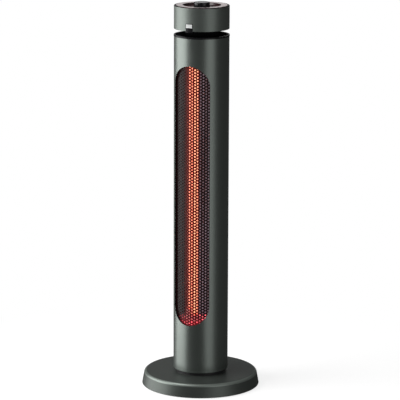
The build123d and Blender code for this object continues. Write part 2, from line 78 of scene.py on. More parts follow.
# Grain of the sprayed paint and of the moulded plastic, in metres
PAINT_GRAIN = 0.0007
PLASTIC_GRAIN = 0.0006

# Where the painted red light fades on the guard, in metres to each side of its middle and above the ground
GLOW_MIDDLE = 0.0045
WEB_GLOW_ASIDE = (0.009, 0.021)
WEB_GLOW_HEIGHT = (0.150, 0.172)
FOOT_GLOW_ASIDE = (0.016, 0.036)
FOOT_GLOW_HEIGHT = (0.148, 0.160)
# Where the painted red light fades to each side on the chamber's floor, and where the reflector's painted
# sheen begins across
FLOOR_GLOW_ASIDE = (0.016, 0.046)
SHEEN_ACROSS = (-0.022, 0.004)
# Distances from the ring's outer edge between which its top goes dark
RING_BAND = (0.0016, 0.0006)

# Soft lights: width and height, degrees to the right of the camera, distance, height and height of aim
KEY_LIGHT = {"size": (1.60, 1.40), "angle": -94, "reach": 1.4, "height": 0.30, "aim": 0.30}
FILL_LIGHT = {"size": (1.25, 2.2), "angle": 36, "reach": 2.0, "height": 0.28, "aim": 0.28}
TOP_LIGHT = {"size": (0.8, 0.8), "angle": -72, "reach": 1.05, "height": 1.75, "aim": 0.05}
# Where the white backdrop starts in reflections, as cosines, and the ceiling, as heights
BACKDROP_EDGE = (0.965, 0.995)
CEILING_EDGE = (0.35, 0.85)
# The floor's own light, and the shares of its radius between which it goes over into white
FLOOR_LIFT = 0.78
FLOOR_FADE = (0.30, 0.92)


# Settings


def length(title, text, default):
    """A length in metres that a user may change."""
    return bpy.props.FloatProperty(
        name=title, description=text, default=default, min=0.0, unit="LENGTH", precision=4
    )


def colour(title, text, default):
    """A linear colour that a user may change."""
    return bpy.props.FloatVectorProperty(
        name=title, description=text, default=default, min=0.0, max=1.0, size=3, subtype="COLOR"
    )


def share(title, text, default, top=1.0):
    """A plain number from nought up that a user may change."""
    return bpy.props.FloatProperty(name=title, description=text, default=default, min=0.0, max=top)


def turn(title, text, degrees):
    """An angle that a user may change."""
    return bpy.props.FloatProperty(
        name=title, description=text, default=math.radians(degrees), subtype="ANGLE"
    )


class HeaterGuardSettings(bpy.types.PropertyGroup):
    """Sizes of the perforated guard, its window and the black trim above."""

    pitch_across: length("Pitch across", "Distance between neighbouring columns of holes", 0.00585)
    pitch_down: length("Pitch down", "Distance between neighbouring holes of one column", 0.0063)
    hole: length("Hole", "Width of one hole", 0.0038)
    sheet: length("Sheet", "Thickness of the guard's sheet", 0.0008)
    window_half: length("Window half width", "Half of the width of the window", 0.0409)
    window_bottom: length("Window bottom", "Height of the window's lower end", 0.1385)
    window_top: length("Window top", "Height of the window's upper end", 0.693)
    margin: length("Margin", "How far holes run on behind the window's edge", 0.003)
    trim_height: length("Trim height", "Height of the black trim on the column's edge", 0.0030)
    trim_proud: length("Trim proud", "How far the black trim stands out", 0.00025)
    trim_lap: length("Trim lap", "How far the black trim laps over the cap", 0.0010)


class HeaterTubeSettings(bpy.types.PropertyGroup):
    """Sizes of the wound carbon bands and colours of what the tubes light."""

    coil_radius: length("Coil radius", "Radius of the wound carbon band", 0.0033)
    band: length("Band", "Height of the carbon band", 0.0023)
    thickness: length("Thickness", "Thickness of the carbon band", 0.0005)
    pitch: length("Pitch", "Rise of the carbon band in one turn", 0.0031)
    lead: length("Lead", "Radius of the straight lead wires", 0.0006)
    joint: length("Joint", "Height of the slanted joint between a lead and its band", 0.006)
    left_bottom: length("Left bottom", "Height where the left band starts", 0.1725)
    right_bottom: length("Right bottom", "Height where the right band starts", 0.1605)
    glow_top: length("Glow top", "Height where both bands end", 0.699)
    fade: length("Fade", "Length of the cooler end of a band", 0.006)
    left_glow: colour("Left glow", "Colour of the left tube's glow", (1.0, 0.34, 0.21))
    right_glow: colour("Right glow", "Colour of the right tube's glow", (1.0, 0.47, 0.25))
    cool_end: colour("Cool end", "Colour at the ends of the glow", (0.5, 0.02, 0.005))
    # Painted light: the quartz's glow stands in for the carbon band's light seen through it
    tube_glow: colour("Tube glow", "Colour of the heated quartz", (1.0, 0.12, 0.055))
    # Painted light: red emission laid on the chamber's floor and on the tube caps
    floor_glow: colour("Floor glow", "Colour of the lit plate under the tubes", (1.0, 0.13, 0.16))
    # Painted light: the two colours below are the tubes' red light laid on the guard as emission
    web_glow: colour("Web glow", "Warm light on the guard before the tubes", (0.085, 0.003, 0.002))
    foot_glow: colour("Foot glow", "Warm light on the guard's lower end", (0.12, 0.002, 0.006))
    left_strength: share("Left strength", "Strength of the left tube's glow", 2.7, 20.0)
    right_strength: share("Right strength", "Strength of the right tube's glow", 2.9, 20.0)


class HeaterFinishSettings(bpy.types.PropertyGroup):
    """Colours of the finishes."""

    casing: colour("Casing", "Satin metallic paint of the column and head", (0.140, 0.158, 0.145))
    base: colour("Base", "Satin paint of the base cover", (0.088, 0.100, 0.091))
    plastic: colour("Black plastic", "Moulded black plastic", (0.012, 0.012, 0.013))
    gloss: colour("Gloss black", "Polished black plastic", (0.006, 0.006, 0.007))
    dish: colour("Control dish", "Dark red-black recess under the knob", (0.026, 0.003, 0.005))
    guard: colour("Guard", "Heat-proof black enamel of the guard", (0.006, 0.005, 0.005))
    ring: colour("Trim ring", "Rose-coloured metal of the ring", (1.0, 0.85, 0.85))
    # Dark colour of the ring's sides and of a thin band at its outer edge
    ring_edge: colour("Ring edge", "Dark anodised edge of the ring", (0.05, 0.006, 0.008))
    mirror: colour("Reflector", "Polished metal behind the tubes", (0.09, 0.09, 0.11))
    # Painted reflection: laid on the reflector as emission
    sheen: colour("Sheen", "Pale room caught in the reflector", (0.086, 0.074, 0.092))
    # Painted light: the red in this colour stands for the tubes' light on the plate
    chamber: colour("Chamber floor", "Polished metal under the tubes", (0.62, 0.30, 0.30))
    zinc: colour("Zinc", "Zinc-plated steel", (0.42, 0.43, 0.44))
    steel: colour("Steel", "Bright turned steel", (0.56, 0.56, 0.55))
    window: colour("Receiver window", "Pale window of the remote receiver", (0.656, 0.672, 0.664))


class HeaterStageSettings(bpy.types.PropertyGroup):
    """The studio."""

    camera_place: bpy.props.FloatVectorProperty(
        name="Camera place", description="Where the camera stands", size=3,
        default=(2.2701, -4.4605, 1.4772), subtype="TRANSLATION", unit="LENGTH",
    )
    camera_down: turn("Camera down", "How far the camera looks down", 12.144)
    camera_round: turn("Camera round", "Turn of the camera about the vertical", 27.0)
    camera_roll: turn("Camera roll", "Roll of the camera about its own line of sight", 0.209)
    camera_lens: share("Camera lens", "Focal length in millimetres", 218.09, 1000.0)
    floor_radius: length("Floor", "Radius of the pale floor", 0.75)
    key_power: share("Key light", "Power of the large soft light on the left, in watts", 27.5, 500.0)
    fill_power: share("Fill light", "Power of the soft light on the right, in watts", 11.0, 500.0)
    top_power: share("Top light", "Power of the soft light above, in watts", 16.5, 500.0)
    ambient: share("Ambient", "Level of the light from all round", 0.22)
    studio: share("Studio", "Level of the dark studio that shows in reflections", 0.05)
    overhead: share("Overhead", "Level of the pale ceiling that shows in reflections", 0.36)


# Shader writing


class Value:
    """A shader output that takes ordinary arithmetic."""

    def __init__(self, shader, socket):
        self.shader = shader
        self.socket = socket

    def maths(self, operation, first, second):
        """A Math node on two values."""
        return self.shader.node("ShaderNodeMath", {"operation": operation}, {0: first, 1: second})

    def __add__(self, other):
        return self.maths("ADD", self, other)

    def __radd__(self, other):
        return self.maths("ADD", other, self)

    def __sub__(self, other):
        return self.maths("SUBTRACT", self, other)

    def __rsub__(self, other):
        return self.maths("SUBTRACT", other, self)

    def __mul__(self, other):
        return self.maths("MULTIPLY", self, other)

    def __rmul__(self, other):
        return self.maths("MULTIPLY", other, self)

    def __abs__(self):
        return self.maths("ABSOLUTE", self, 0.0)

    def larger(self, other):
        """The larger of this value and another."""
        return self.maths("MAXIMUM", self, other)


class Shader:
    """The nodes of one material or world, written as expressions."""

    def __init__(self, owner):
        self.owner = owner
        owner.use_nodes = True
        self.tree = owner.node_tree
        self.tree.nodes.clear()

    def node(self, kind, settings=None, inputs=None, output=0):
        """One node: its settings first, then the values or links of its sockets."""
        made = self.tree.nodes.new(kind)
        for name, value in (settings or {}).items():
            setattr(made, name, value)
        for name, value in (inputs or {}).items():
            if isinstance(value, Value):
                self.tree.links.new(value.socket, made.inputs[name])
            elif hasattr(value, "__len__") and len(value) == 3 and made.inputs[name].type == "RGBA":
                made.inputs[name].default_value = (*value, 1.0)
            else:
                made.inputs[name].default_value = value
        return Value(self, made.outputs[output]) if made.outputs else made

    def place(self):
        """Where a point is on the piece."""
        return self.node("ShaderNodeTexCoord", output="Object")

    def part(self, vector, axis):
        """One part of a vector: X, Y or Z."""
        return self.node("ShaderNodeSeparateXYZ", {}, {"Vector": vector}, axis)

    def along(self, axis):
        """Where a point is on the piece, along one axis."""
        return self.part(self.place(), axis)

    def upward(self):
        """How far the surface faces up, from -1 to 1."""
        return self.part(self.node("ShaderNodeNewGeometry", output="Normal"), "Z")

    def reach(self, vector):
        """The length of a vector."""
        return self.node("ShaderNodeVectorMath", {"operation": "LENGTH"}, {0: vector}, "Value")

    def stretched(self, scale):
        """Where a point is, with each direction scaled."""
        return self.node("ShaderNodeMapping", {}, {"Vector": self.place(), "Scale": scale})

    def noise(self, scale, detail=2.0, stretch=(1.0, 1.0, 1.0), rough=0.5):
        """Soft random cloud from 0 to 1."""
        where = self.stretched(stretch)
        wanted = {"Vector": where, "Scale": scale, "Detail": detail, "Roughness": rough}
        return self.node("ShaderNodeTexNoise", {}, wanted)

    def ramp(self, value, low, high):
        """0 below low, 1 above high and smooth between."""
        settings = {"interpolation_type": "SMOOTHSTEP", "clamp": True}
        wanted = {"Value": value, "From Min": low, "From Max": high}
        return self.node("ShaderNodeMapRange", settings, wanted)

    def mix(self, factor, first, second):
        """One colour going over into another."""
        return self.node("ShaderNodeMix", {"data_type": "RGBA"}, {0: factor, 6: first, 7: second}, 2)

    def bump(self, height, distance, strength):
        """A relief of that height in metres."""
        wanted = {"Height": height, "Distance": distance, "Strength": strength}
        return self.node("ShaderNodeBump", {}, wanted)

    def surface(self, **sockets):
        """The material's surface; an underscore in a name stands for a space."""
        wanted = {name.replace("_", " "): value for name, value in sockets.items()}
        body = self.node("ShaderNodeBsdfPrincipled", {}, wanted)
        self.node("ShaderNodeOutputMaterial", {}, {"Surface": body})
        return self.owner


def tinted(shade, factor):
    """A colour made lighter or darker."""
    return tuple(min(1.0, part * factor) for part in shade)


def new_shader(name):
    """A shader for a new material."""
    return Shader(bpy.data.materials.new(name))


# Finishes


def satin_paint(name, shade, roughness):
    """Sprayed metallic paint: faint clouds, fine grain and a few rubbed patches."""
    paint = new_shader(name)
    cloud = paint.noise(9.0, 4.0)
    grain = paint.noise(1.0 / PAINT_GRAIN, 2.0)
    rubbed = paint.ramp(paint.noise(26.0, 6.0, rough=0.7), 0.56, 0.74)
    tone = paint.mix(cloud * 0.45 + grain * 0.55, tinted(shade, 0.86), tinted(shade, 1.14))
    return paint.surface(
        Base_Color=tone,
        Metallic=0.82,
        Roughness=roughness + (cloud - 0.5) * 0.08 + (grain - 0.5) * 0.10 - rubbed * 0.03,
        Normal=paint.bump(grain, 0.00003, 0.35),
    )


def moulded_plastic(name, shade, roughness):
    """Moulded plastic with a fine spark-eroded grain."""
    plastic = new_shader(name)
    grain = plastic.noise(1.0 / PLASTIC_GRAIN, 3.0)
    cloud = plastic.noise(18.0, 3.0)
    dust = plastic.ramp(plastic.noise(420.0, 2.0), 0.62, 0.80)
    tone = plastic.mix(dust * 0.35, shade, tuple(part + 0.02 for part in shade))
    return plastic.surface(
        Base_Color=tone,
        Roughness=roughness + (cloud - 0.5) * 0.12 + (grain - 0.5) * 0.10,
        Normal=plastic.bump(grain, 0.00004, 0.4),
    )


def gloss_plastic(name, shade, roughness, specular=0.4):
    """Polished plastic with hair scratches and handling marks."""
    plastic = new_shader(name)
    smear = plastic.noise(40.0, 5.0, rough=0.65)
    scratch = plastic.ramp(plastic.noise(900.0, 2.0, stretch=(1.0, 0.06, 1.0)), 0.60, 0.72)
    return plastic.surface(
        Base_Color=plastic.mix(smear * 0.3, shade, tuple(part + 0.006 for part in shade)),
        Roughness=roughness + smear * 0.10 + scratch * 0.06,
        Specular_IOR_Level=specular,
        Normal=plastic.bump(plastic.noise(260.0, 2.0), 0.00001, 0.3),
    )


def worked_metal(name, shade, roughness, streak):
    """Metal with fine streaks along one direction."""
    metal = new_shader(name)
    lines = metal.noise(2600.0, 3.0, stretch=streak)
    cloud = metal.noise(30.0, 5.0, rough=0.6)
    return metal.surface(
        Base_Color=metal.mix(lines, tinted(shade, 0.88), tinted(shade, 1.10)),
        Metallic=1.0,
        Roughness=roughness + (lines - 0.5) * 0.14 + (cloud - 0.5) * 0.10,
        Normal=metal.bump(lines, 0.00002, 0.25),
    )


def zinc_plate(name, shade):
    """Zinc plating with its flowers of crystals."""
    zinc = new_shader(name)
    flower = zinc.node("ShaderNodeTexVoronoi", {}, {"Vector": zinc.place(), "Scale": 160.0}, "Color")
    grey = zinc.node("ShaderNodeRGBToBW", {}, {"Color": flower})
    cloud = zinc.noise(60.0, 4.0)
    return zinc.surface(
        Base_Color=zinc.mix(grey * 0.5 + cloud * 0.3, tinted(shade, 0.80), tinted(shade, 1.18)),
        Metallic=1.0,
        Roughness=0.34 + grey * 0.16 + (cloud - 0.5) * 0.1,
        Normal=zinc.bump(grey, 0.00002, 0.2),
    )


def cast_iron(name):
    """Rough cast iron under a thin black wash."""
    iron = new_shader(name)
    pits = iron.noise(700.0, 6.0, rough=0.7)
    rust = iron.ramp(iron.noise(50.0, 5.0), 0.58, 0.80)
    return iron.surface(
        Base_Color=iron.mix(rust * 0.4, (0.045, 0.043, 0.042), (0.10, 0.05, 0.03)),
        Metallic=0.6,
        Roughness=0.62 + (pits - 0.5) * 0.2,
        Normal=iron.bump(pits, 0.0003, 0.7),
    )


def soft_rubber(name):
    """Matte black rubber with bloom."""
    rubber = new_shader(name)
    bloom = rubber.noise(90.0, 5.0)
    grain = rubber.noise(1800.0, 2.0)
    return rubber.surface(
        Base_Color=rubber.mix(bloom * 0.5, (0.014, 0.014, 0.014), (0.035, 0.034, 0.033)),
        Roughness=0.78 + (grain - 0.5) * 0.12,
        Normal=rubber.bump(grain, 0.00005, 0.4),
    )


def white_acetal(name):
    """Milky gear plastic."""
    acetal = new_shader(name)
    cloud = acetal.noise(70.0, 3.0)
    return acetal.surface(
        Base_Color=acetal.mix(cloud, (0.72, 0.71, 0.67), (0.82, 0.81, 0.78)),
        Roughness=0.36 + cloud * 0.1,
        Subsurface_Weight=0.08,
        Subsurface_Radius=(0.004, 0.004, 0.003),
        Normal=acetal.bump(acetal.noise(1200.0), 0.00002, 0.3),
    )


def fired_ceramic(name, glow):
    """Unglazed ceramic with dark specks and the tubes' red light painted on as emission."""
    ceramic = new_shader(name)
    grain = ceramic.noise(1400.0, 4.0)
    speck = ceramic.ramp(ceramic.noise(900.0, 1.0), 0.66, 0.74)
    tone = ceramic.mix(speck * 0.6, (0.70, 0.66, 0.58), (0.28, 0.22, 0.18))
    return ceramic.surface(
        Base_Color=tone,
        Roughness=0.72 + grain * 0.12,
        # Painted red light of the tubes
        Emission_Color=ceramic.mix(grain, tinted(glow, 0.5), glow),
        Emission_Strength=0.55,
        Normal=ceramic.bump(grain, 0.0001, 0.5),
    )


def quartz_glass(name, glow):
    """Fused quartz with drawing lines along the tube and a painted red glow for the carbon band's light
    inside it.
    """
    quartz = new_shader(name)
    lines = quartz.noise(900.0, 2.0, stretch=(1.0, 1.0, 0.02))
    haze = quartz.noise(60.0, 4.0)
    return quartz.surface(
        Base_Color=quartz.mix(haze, (0.90, 0.80, 0.76), (1.0, 0.93, 0.90)),
        Roughness=0.05 + lines * 0.06,
        Alpha=0.26 + lines * 0.08,
        Specular_IOR_Level=0.9,
        # Painted glow: stands in for the carbon band's light seen through the quartz
        Emission_Color=quartz.mix(haze, tinted(glow, 0.8), glow),
        Emission_Strength=0.85,
        Normal=quartz.bump(lines, 0.00003, 0.3),
    )


def enamel_with_painted_glow(name, shade, web_glow, foot_glow):
    """Heat-proof black enamel with the tubes' red light painted on as emission."""
    enamel = new_shader(name)
    aside = abs(enamel.along("X") - GLOW_MIDDLE)
    up = enamel.along("Z")
    grain = enamel.noise(2000.0, 3.0)
    # Painted red light of the tubes: a faint tint all over, stronger on the webs before the tubes and on
    # the guard's lower end
    painted_web_light = (1.0 - enamel.ramp(aside, *WEB_GLOW_ASIDE)) * enamel.ramp(up, *WEB_GLOW_HEIGHT)
    foot = (1.0 - enamel.ramp(aside, *FOOT_GLOW_ASIDE)) * (1.0 - enamel.ramp(up, *FOOT_GLOW_HEIGHT))
    glow = enamel.mix(painted_web_light, (0.006, 0.001, 0.001), web_glow)
    return enamel.surface(
        Base_Color=enamel.mix(grain, tinted(shade, 0.8), tinted(shade, 1.3)),
        Roughness=0.46 + (grain - 0.5) * 0.14,
        Specular_IOR_Level=0.10,
        Emission_Color=enamel.mix(foot, glow, foot_glow),
        Emission_Strength=1.0,
        Normal=enamel.bump(grain, 0.00003, 0.4),
    )


def lit_plate(name, shade, glow):
    """Polished plate with the tubes' red light painted on as emission, strongest under them."""
    plate = new_shader(name)
    lines = plate.noise(1500.0, 3.0, stretch=(1.0, 0.05, 1.0))
    patch = plate.ramp(plate.noise(95.0, 2.0), 0.42, 0.60)
    # Painted red light of the tubes, in patches and strongest under them
    heat = (1.0 - plate.ramp(abs(plate.along("X")), *FLOOR_GLOW_ASIDE)) * (0.12 + patch * 0.88)
    return plate.surface(
        Base_Color=plate.mix(lines, tinted(shade, 0.85), tinted(shade, 1.1)),
        Metallic=1.0,
        Roughness=0.26 + lines * 0.12,
        Emission_Color=plate.mix(heat, (0.0, 0.0, 0.0), glow),
        Emission_Strength=1.45,
        Normal=plate.bump(lines, 0.00002, 0.25),
    )


def hot_carbon(name, hot, strength, low, cool, high, fade):
    """Glowing carbon band, cooler at both ends and with the weave of the fibre."""
    carbon = new_shader(name)
    up = carbon.along("Z")
    rising = carbon.ramp(up, low, low + fade)
    falling = 1.0 - carbon.ramp(up, high - fade, high)
    weave = carbon.noise(2200.0, 2.0)
    heat = rising * falling * (0.82 + weave * 0.36)
    return carbon.surface(
        Base_Color=carbon.mix(weave, (0.02, 0.02, 0.02), (0.05, 0.045, 0.04)),
        Roughness=0.8,
        Emission_Color=carbon.mix(heat, cool, hot),
        Emission_Strength=strength,
    )


def circuit_board(name):
    """Green solder mask over paler traces."""
    board = new_shader(name)
    traces = board.node(
        "ShaderNodeTexBrick",
        {},
        {"Vector": board.place(), "Scale": 260.0, "Mortar Size": 0.03, "Color1": (0.0, 0.0, 0.0),
         "Color2": (0.0, 0.0, 0.0), "Mortar": (1.0, 1.0, 1.0)},
        "Fac",
    )
    return board.surface(
        Base_Color=board.mix(traces, (0.012, 0.11, 0.045), (0.03, 0.22, 0.09)),
        Roughness=0.3 + traces * 0.1,
        Coat_Weight=0.3,
        Normal=board.bump(traces, 0.00005, 0.5),
    )


def milk_window(name, shade):
    """Smooth pale window that passes infrared."""
    pale = new_shader(name)
    cloud = pale.noise(200.0, 3.0)
    return pale.surface(
        Base_Color=pale.mix(cloud, tinted(shade, 0.94), tinted(shade, 1.04)),
        Roughness=0.22 + cloud * 0.08,
        Subsurface_Weight=0.1,
        Subsurface_Radius=(0.002, 0.002, 0.002),
        Normal=pale.bump(pale.noise(900.0), 0.00001, 0.2),
    )


def studio_mirror(name, shade, sheen):
    """Rolled bright metal behind the tubes, with a painted reflection of the pale room as emission."""
    mirror = new_shader(name)
    lines = mirror.noise(1800.0, 3.0, stretch=(1.0, 1.0, 0.03))
    bands = mirror.ramp(mirror.noise(70.0, 2.0, stretch=(1.0, 1.0, 0.05)), 0.30, 0.66)
    # Painted reflection of the pale room, in streaks, on the right part of the reflector
    painted_sheen = (0.3 + bands * 0.7) * mirror.ramp(mirror.along("X"), *SHEEN_ACROSS)
    return mirror.surface(
        Base_Color=mirror.mix(lines, tinted(shade, 0.85), tinted(shade, 1.15)),
        Metallic=1.0,
        Roughness=0.36 + lines * 0.12,
        Emission_Color=mirror.mix(painted_sheen, (0.0, 0.0, 0.0), tinted(sheen, 1.4)),
        Emission_Strength=1.0,
        Normal=mirror.bump(lines, 0.00002, 0.25),
    )


def shoulder_highlight_paint(name, shade):
    """Satin paint of the base, with a painted highlight on the rounded shoulder."""
    paint = new_shader(name)
    upward = paint.upward()
    shoulder = paint.ramp(upward, 0.20, 0.34) * (1.0 - paint.ramp(upward, 0.92, 0.995))
    grain = paint.noise(1250.0, 2.0)
    cloud = paint.noise(9.0, 2.0)
    tone = paint.mix(cloud, tinted(shade, 0.80), tinted(shade, 0.96))
    # Painted highlight: a much lighter colour where the shoulder turns upward
    bright = paint.mix(grain, tinted(shade, 2.0), tinted(shade, 2.4))
    return paint.surface(
        Base_Color=paint.mix(shoulder, tone, bright),
        Metallic=0.70,
        Roughness=0.42 + cloud * 0.05 + grain * 0.03 - shoulder * 0.04,
        Normal=paint.bump(grain, 0.00002, 0.35),
    )


def brushed_band(name, shade, edge):
    """Painted metal brushed round the head, with a black upper edge."""
    band = new_shader(name)
    lip = band.ramp(band.upward(), 0.20, 0.55)
    lines = band.noise(700.0, 3.0, stretch=(0.05, 0.05, 1.0))
    tone = band.mix(lines, tinted(shade, 0.88), tinted(shade, 1.12))
    return band.surface(
        Base_Color=band.mix(lip, tone, edge),
        Metallic=0.82 - lip * 0.60,
        Roughness=0.43 + lines * 0.10,
        Normal=band.bump(lines, 0.00002, 0.3),
    )


def ring_metal(name, shade, edge):
    """Rose metal with a turned top, dark on its sides and in a thin band at its outer edge."""
    metal = new_shader(name)
    level_part = {0: metal.place(), 1: (1.0, 1.0, 0.0)}
    flat = metal.node("ShaderNodeVectorMath", {"operation": "MULTIPLY"}, level_part)
    band_start, band_end = (ring_high.x - inwards for inwards in RING_BAND)
    inner = 1.0 - metal.ramp(metal.reach(flat), band_start, band_end)
    top = metal.ramp(metal.upward(), 0.55, 0.90) * inner
    turned = metal.noise(1600.0, 3.0)
    tone = metal.mix(turned, tinted(shade, 0.94), tinted(shade, 1.06))
    return metal.surface(
        Base_Color=metal.mix(top, edge, tone),
        Metallic=1.0,
        Roughness=0.24 + turned * 0.10,
        Normal=metal.bump(turned, 0.00001, 0.2),
    )


def wear(finish, *nodes):
    """Give a finish to CAD nodes."""
    for name in nodes:
        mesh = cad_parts[name].data
        mesh.materials.clear()
        mesh.materials.append(finish)


# Modelling helpers


def start_clean():
    """Object mode with nothing selected."""
    active = bpy.context.view_layer.objects.active
    if active and active.mode != "OBJECT":
        bpy.ops.object.mode_set(mode="OBJECT")
    bpy.ops.object.select_all(action="DESELECT")


def edit_all():
    """Edit mode with everything selected."""
    bpy.ops.object.mode_set(mode="EDIT")
    bpy.ops.mesh.select_all(action="SELECT")


def apply_place():
    """Put the active piece's place, turn and scale into its mesh."""
    bpy.ops.object.transform_apply(location=True, rotation=True, scale=True)


def choose(piece, kind, test):
    """Select the vertices, edges or faces of a piece in edit mode that pass a test."""
    bpy.ops.mesh.select_mode(type={"verts": "VERT", "edges": "EDGE", "faces": "FACE"}[kind])
    bpy.ops.mesh.select_all(action="DESELECT")
    mesh = bmesh.from_edit_mesh(piece.data)
    for element in getattr(mesh, kind):
        if test(element):
            element.select_set(True)
    mesh.select_flush_mode()
    bmesh.update_edit_mesh(piece.data)


def shaped(piece, kind, **settings):
    """Add a modifier with its settings and apply it."""
    modifier = piece.modifiers.new(kind.title(), kind)
    for name, value in settings.items():
        setattr(modifier, name, value)
    bpy.context.view_layer.objects.active = piece
    bpy.ops.object.modifier_apply(modifier=modifier.name)


def settle(piece, angle=math.radians(35)):
    """Put a finished piece's place into its mesh, clean it and shade it."""
    apply_place()
    edit_all()
    bpy.ops.mesh.remove_doubles(threshold=0.000005)
    bpy.ops.mesh.normals_make_consistent(inside=False)
    bpy.ops.object.mode_set(mode="OBJECT")
    bpy.ops.object.shade_smooth_by_angle(angle=angle)


# Pieces


class HEATER_OT_guard(bpy.types.Operator):
    """Build the curved guard with its staggered round holes"""

    bl_idname = "heater.guard"
    bl_label = "Guard"
    bl_options = {"REGISTER", "UNDO"}

    def cell(self, context, sizes):
        """One hole with the sheet round it, out to halfway to its neighbours."""
        radius = sizes.hole / 2
        rim, slack = radius * 1.05, radius * 0.2
        corner = math.sqrt(2)
        origin = (0.0, 0.0, 0.0)
        start_clean()
        bpy.ops.mesh.primitive_circle_add(vertices=HOLE_SIDES, radius=radius)
        guard = context.object
        guard.name = "guard_sheet"
        bpy.ops.object.mode_set(mode="EDIT")
        bpy.ops.mesh.select_mode(type="EDGE")
        bpy.ops.mesh.select_all(action="SELECT")
        bpy.ops.mesh.extrude_edges_move()
        wider = (sizes.pitch_across / 2 / radius, sizes.pitch_down / 2 / radius, 1.0)
        bpy.ops.transform.resize(value=wider, center_override=origin)
        choose(
            guard, "verts",
            lambda v: v.co.length > rim and abs(v.co.x) > slack and abs(v.co.y) > slack,
        )
        bpy.ops.transform.resize(value=(corner, corner, 1.0), center_override=origin)
        bpy.ops.object.mode_set(mode="OBJECT")
        return guard

    def repeat(self, guard, sizes, first, bottom):
        """Copy the cell down and across, with every other column half a step higher."""
        across, down = sizes.pitch_across, sizes.pitch_down
        stack = {
            "use_relative_offset": False,
            "use_constant_offset": True,
            "use_merge_vertices": True,
            "merge_threshold": MERGE,
        }
        rows = math.ceil((guard_high.z - guard_low.z) / down)
        shaped(guard, "ARRAY", count=rows, constant_offset_displace=(0, down, 0), **stack)
        edit_all()
        bpy.ops.mesh.duplicate()
        bpy.ops.transform.translate(value=(across, down / 2, 0))
        bpy.ops.object.mode_set(mode="OBJECT")
        shaped(guard, "ARRAY", count=COLUMN_PAIRS, constant_offset_displace=(2 * across, 0, 0), **stack)
        edit_all()
        bpy.ops.mesh.remove_doubles(threshold=MERGE)
        bpy.ops.transform.translate(value=(first, bottom, 0))

    def close_outside(self, guard, sizes, first, bottom, bend):
        """Close the holes that lie past the window and its margin."""
        across, down, radius = sizes.pitch_across, sizes.pitch_down, sizes.hole / 2
        half = sizes.window_half + sizes.margin
        low = sizes.window_bottom + sizes.window_half
        high = sizes.window_top - sizes.window_half

        def outside(edge):
            """Whether an edge belongs to a hole outside the window's rounded outline."""
            if not edge.is_boundary:
                return False
            x, y = (edge.verts[0].co.xy + edge.verts[1].co.xy) / 2
            column = round((x - first) / across)
            shift = bottom + (column % 2) * down / 2
            centre = Vector((first + column * across, shift + round((y - shift) / down) * down))
            if (Vector((x, y)) - centre).length > radius * 1.02:
                return False
            flat = bend * math.sin(centre.x / bend)
            over = max(low - centre.y, centre.y - high, 0.0)
            return math.hypot(flat, over) > half

        choose(guard, "edges", outside)
        bpy.ops.mesh.fill_holes(sides=HOLE_SIDES)
        bpy.ops.object.mode_set(mode="OBJECT")

    def curve(self, guard, bend):
        """Stand the flat sheet up and bend it round the column's axis."""
        guard.rotation_euler.x = math.pi / 2
        apply_place()
        xs = [v.co.x for v in guard.data.vertices]
        angle = (max(xs) - min(xs)) / bend
        shaped(guard, "SIMPLE_DEFORM", deform_method="BEND", deform_axis="Z", angle=angle)
        guard.location.y = -bend
        apply_place()

    def execute(self, context):
        sizes = context.scene.heater_guard
        shades, heat = context.scene.heater_finish, context.scene.heater_tubes
        bend = -guard_low.y - sizes.sheet / 2
        first = GRID_SHIFT - COLUMNS_LEFT_OF_MIDDLE * sizes.pitch_across
        bottom = guard_low.z + sizes.pitch_down / 2
        guard = self.cell(context, sizes)
        self.repeat(guard, sizes, first, bottom)
        self.close_outside(guard, sizes, first, bottom, bend)
        self.curve(guard, bend)
        shaped(guard, "SOLIDIFY", thickness=sizes.sheet, offset=0.0)
        settle(guard, math.radians(50))
        enamel = enamel_with_painted_glow("guard_enamel", shades.guard, heat.web_glow, heat.foot_glow)
        guard.data.materials.append(enamel)
        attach(guard, "column")
        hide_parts("guard_mesh")
        return {"FINISHED"}


class HEATER_OT_top_trim(bpy.types.Operator):
    """Turn the thin black trim that caps the upper edge of the column"""

    bl_idname = "heater.top_trim"
    bl_label = "Top trim"
    bl_options = {"REGISTER", "UNDO"}

    def execute(self, context):
        sizes = context.scene.heater_guard
        radius = casing_high.x + sizes.trim_proud
        inner = cap_high.x - sizes.trim_lap
        low = casing_high.z - sizes.trim_height
        rise = sizes.trim_height + sizes.trim_proud
        start_clean()
        bpy.ops.mesh.primitive_circle_add(vertices=TRIM_SIDES, radius=radius, location=(0, 0, low))
        trim = context.object
        trim.name = "top_trim"
        apply_place()
        bpy.ops.object.mode_set(mode="EDIT")
        bpy.ops.mesh.select_mode(type="EDGE")
        bpy.ops.mesh.select_all(action="SELECT")
        bpy.ops.mesh.extrude_edges_move(TRANSFORM_OT_translate={"value": (0, 0, rise)})
        bpy.ops.mesh.extrude_edges_move()
        narrow = inner / radius
        bpy.ops.transform.resize(value=(narrow, narrow, 1.0), center_override=(0, 0, low + rise))
        bpy.ops.object.mode_set(mode="OBJECT")
        shaped(trim, "SOLIDIFY", thickness=sizes.trim_proud * 0.8, offset=1.0)
        shaped(trim, "BEVEL", width=sizes.trim_proud * 0.35, segments=2, limit_method="ANGLE")
        settle(trim)
        shades = context.scene.heater_finish
        trim.data.materials.append(gloss_plastic("trim_black", shades.gloss, 0.30, 0.15))
        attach(trim, "column")
        return {"FINISHED"}


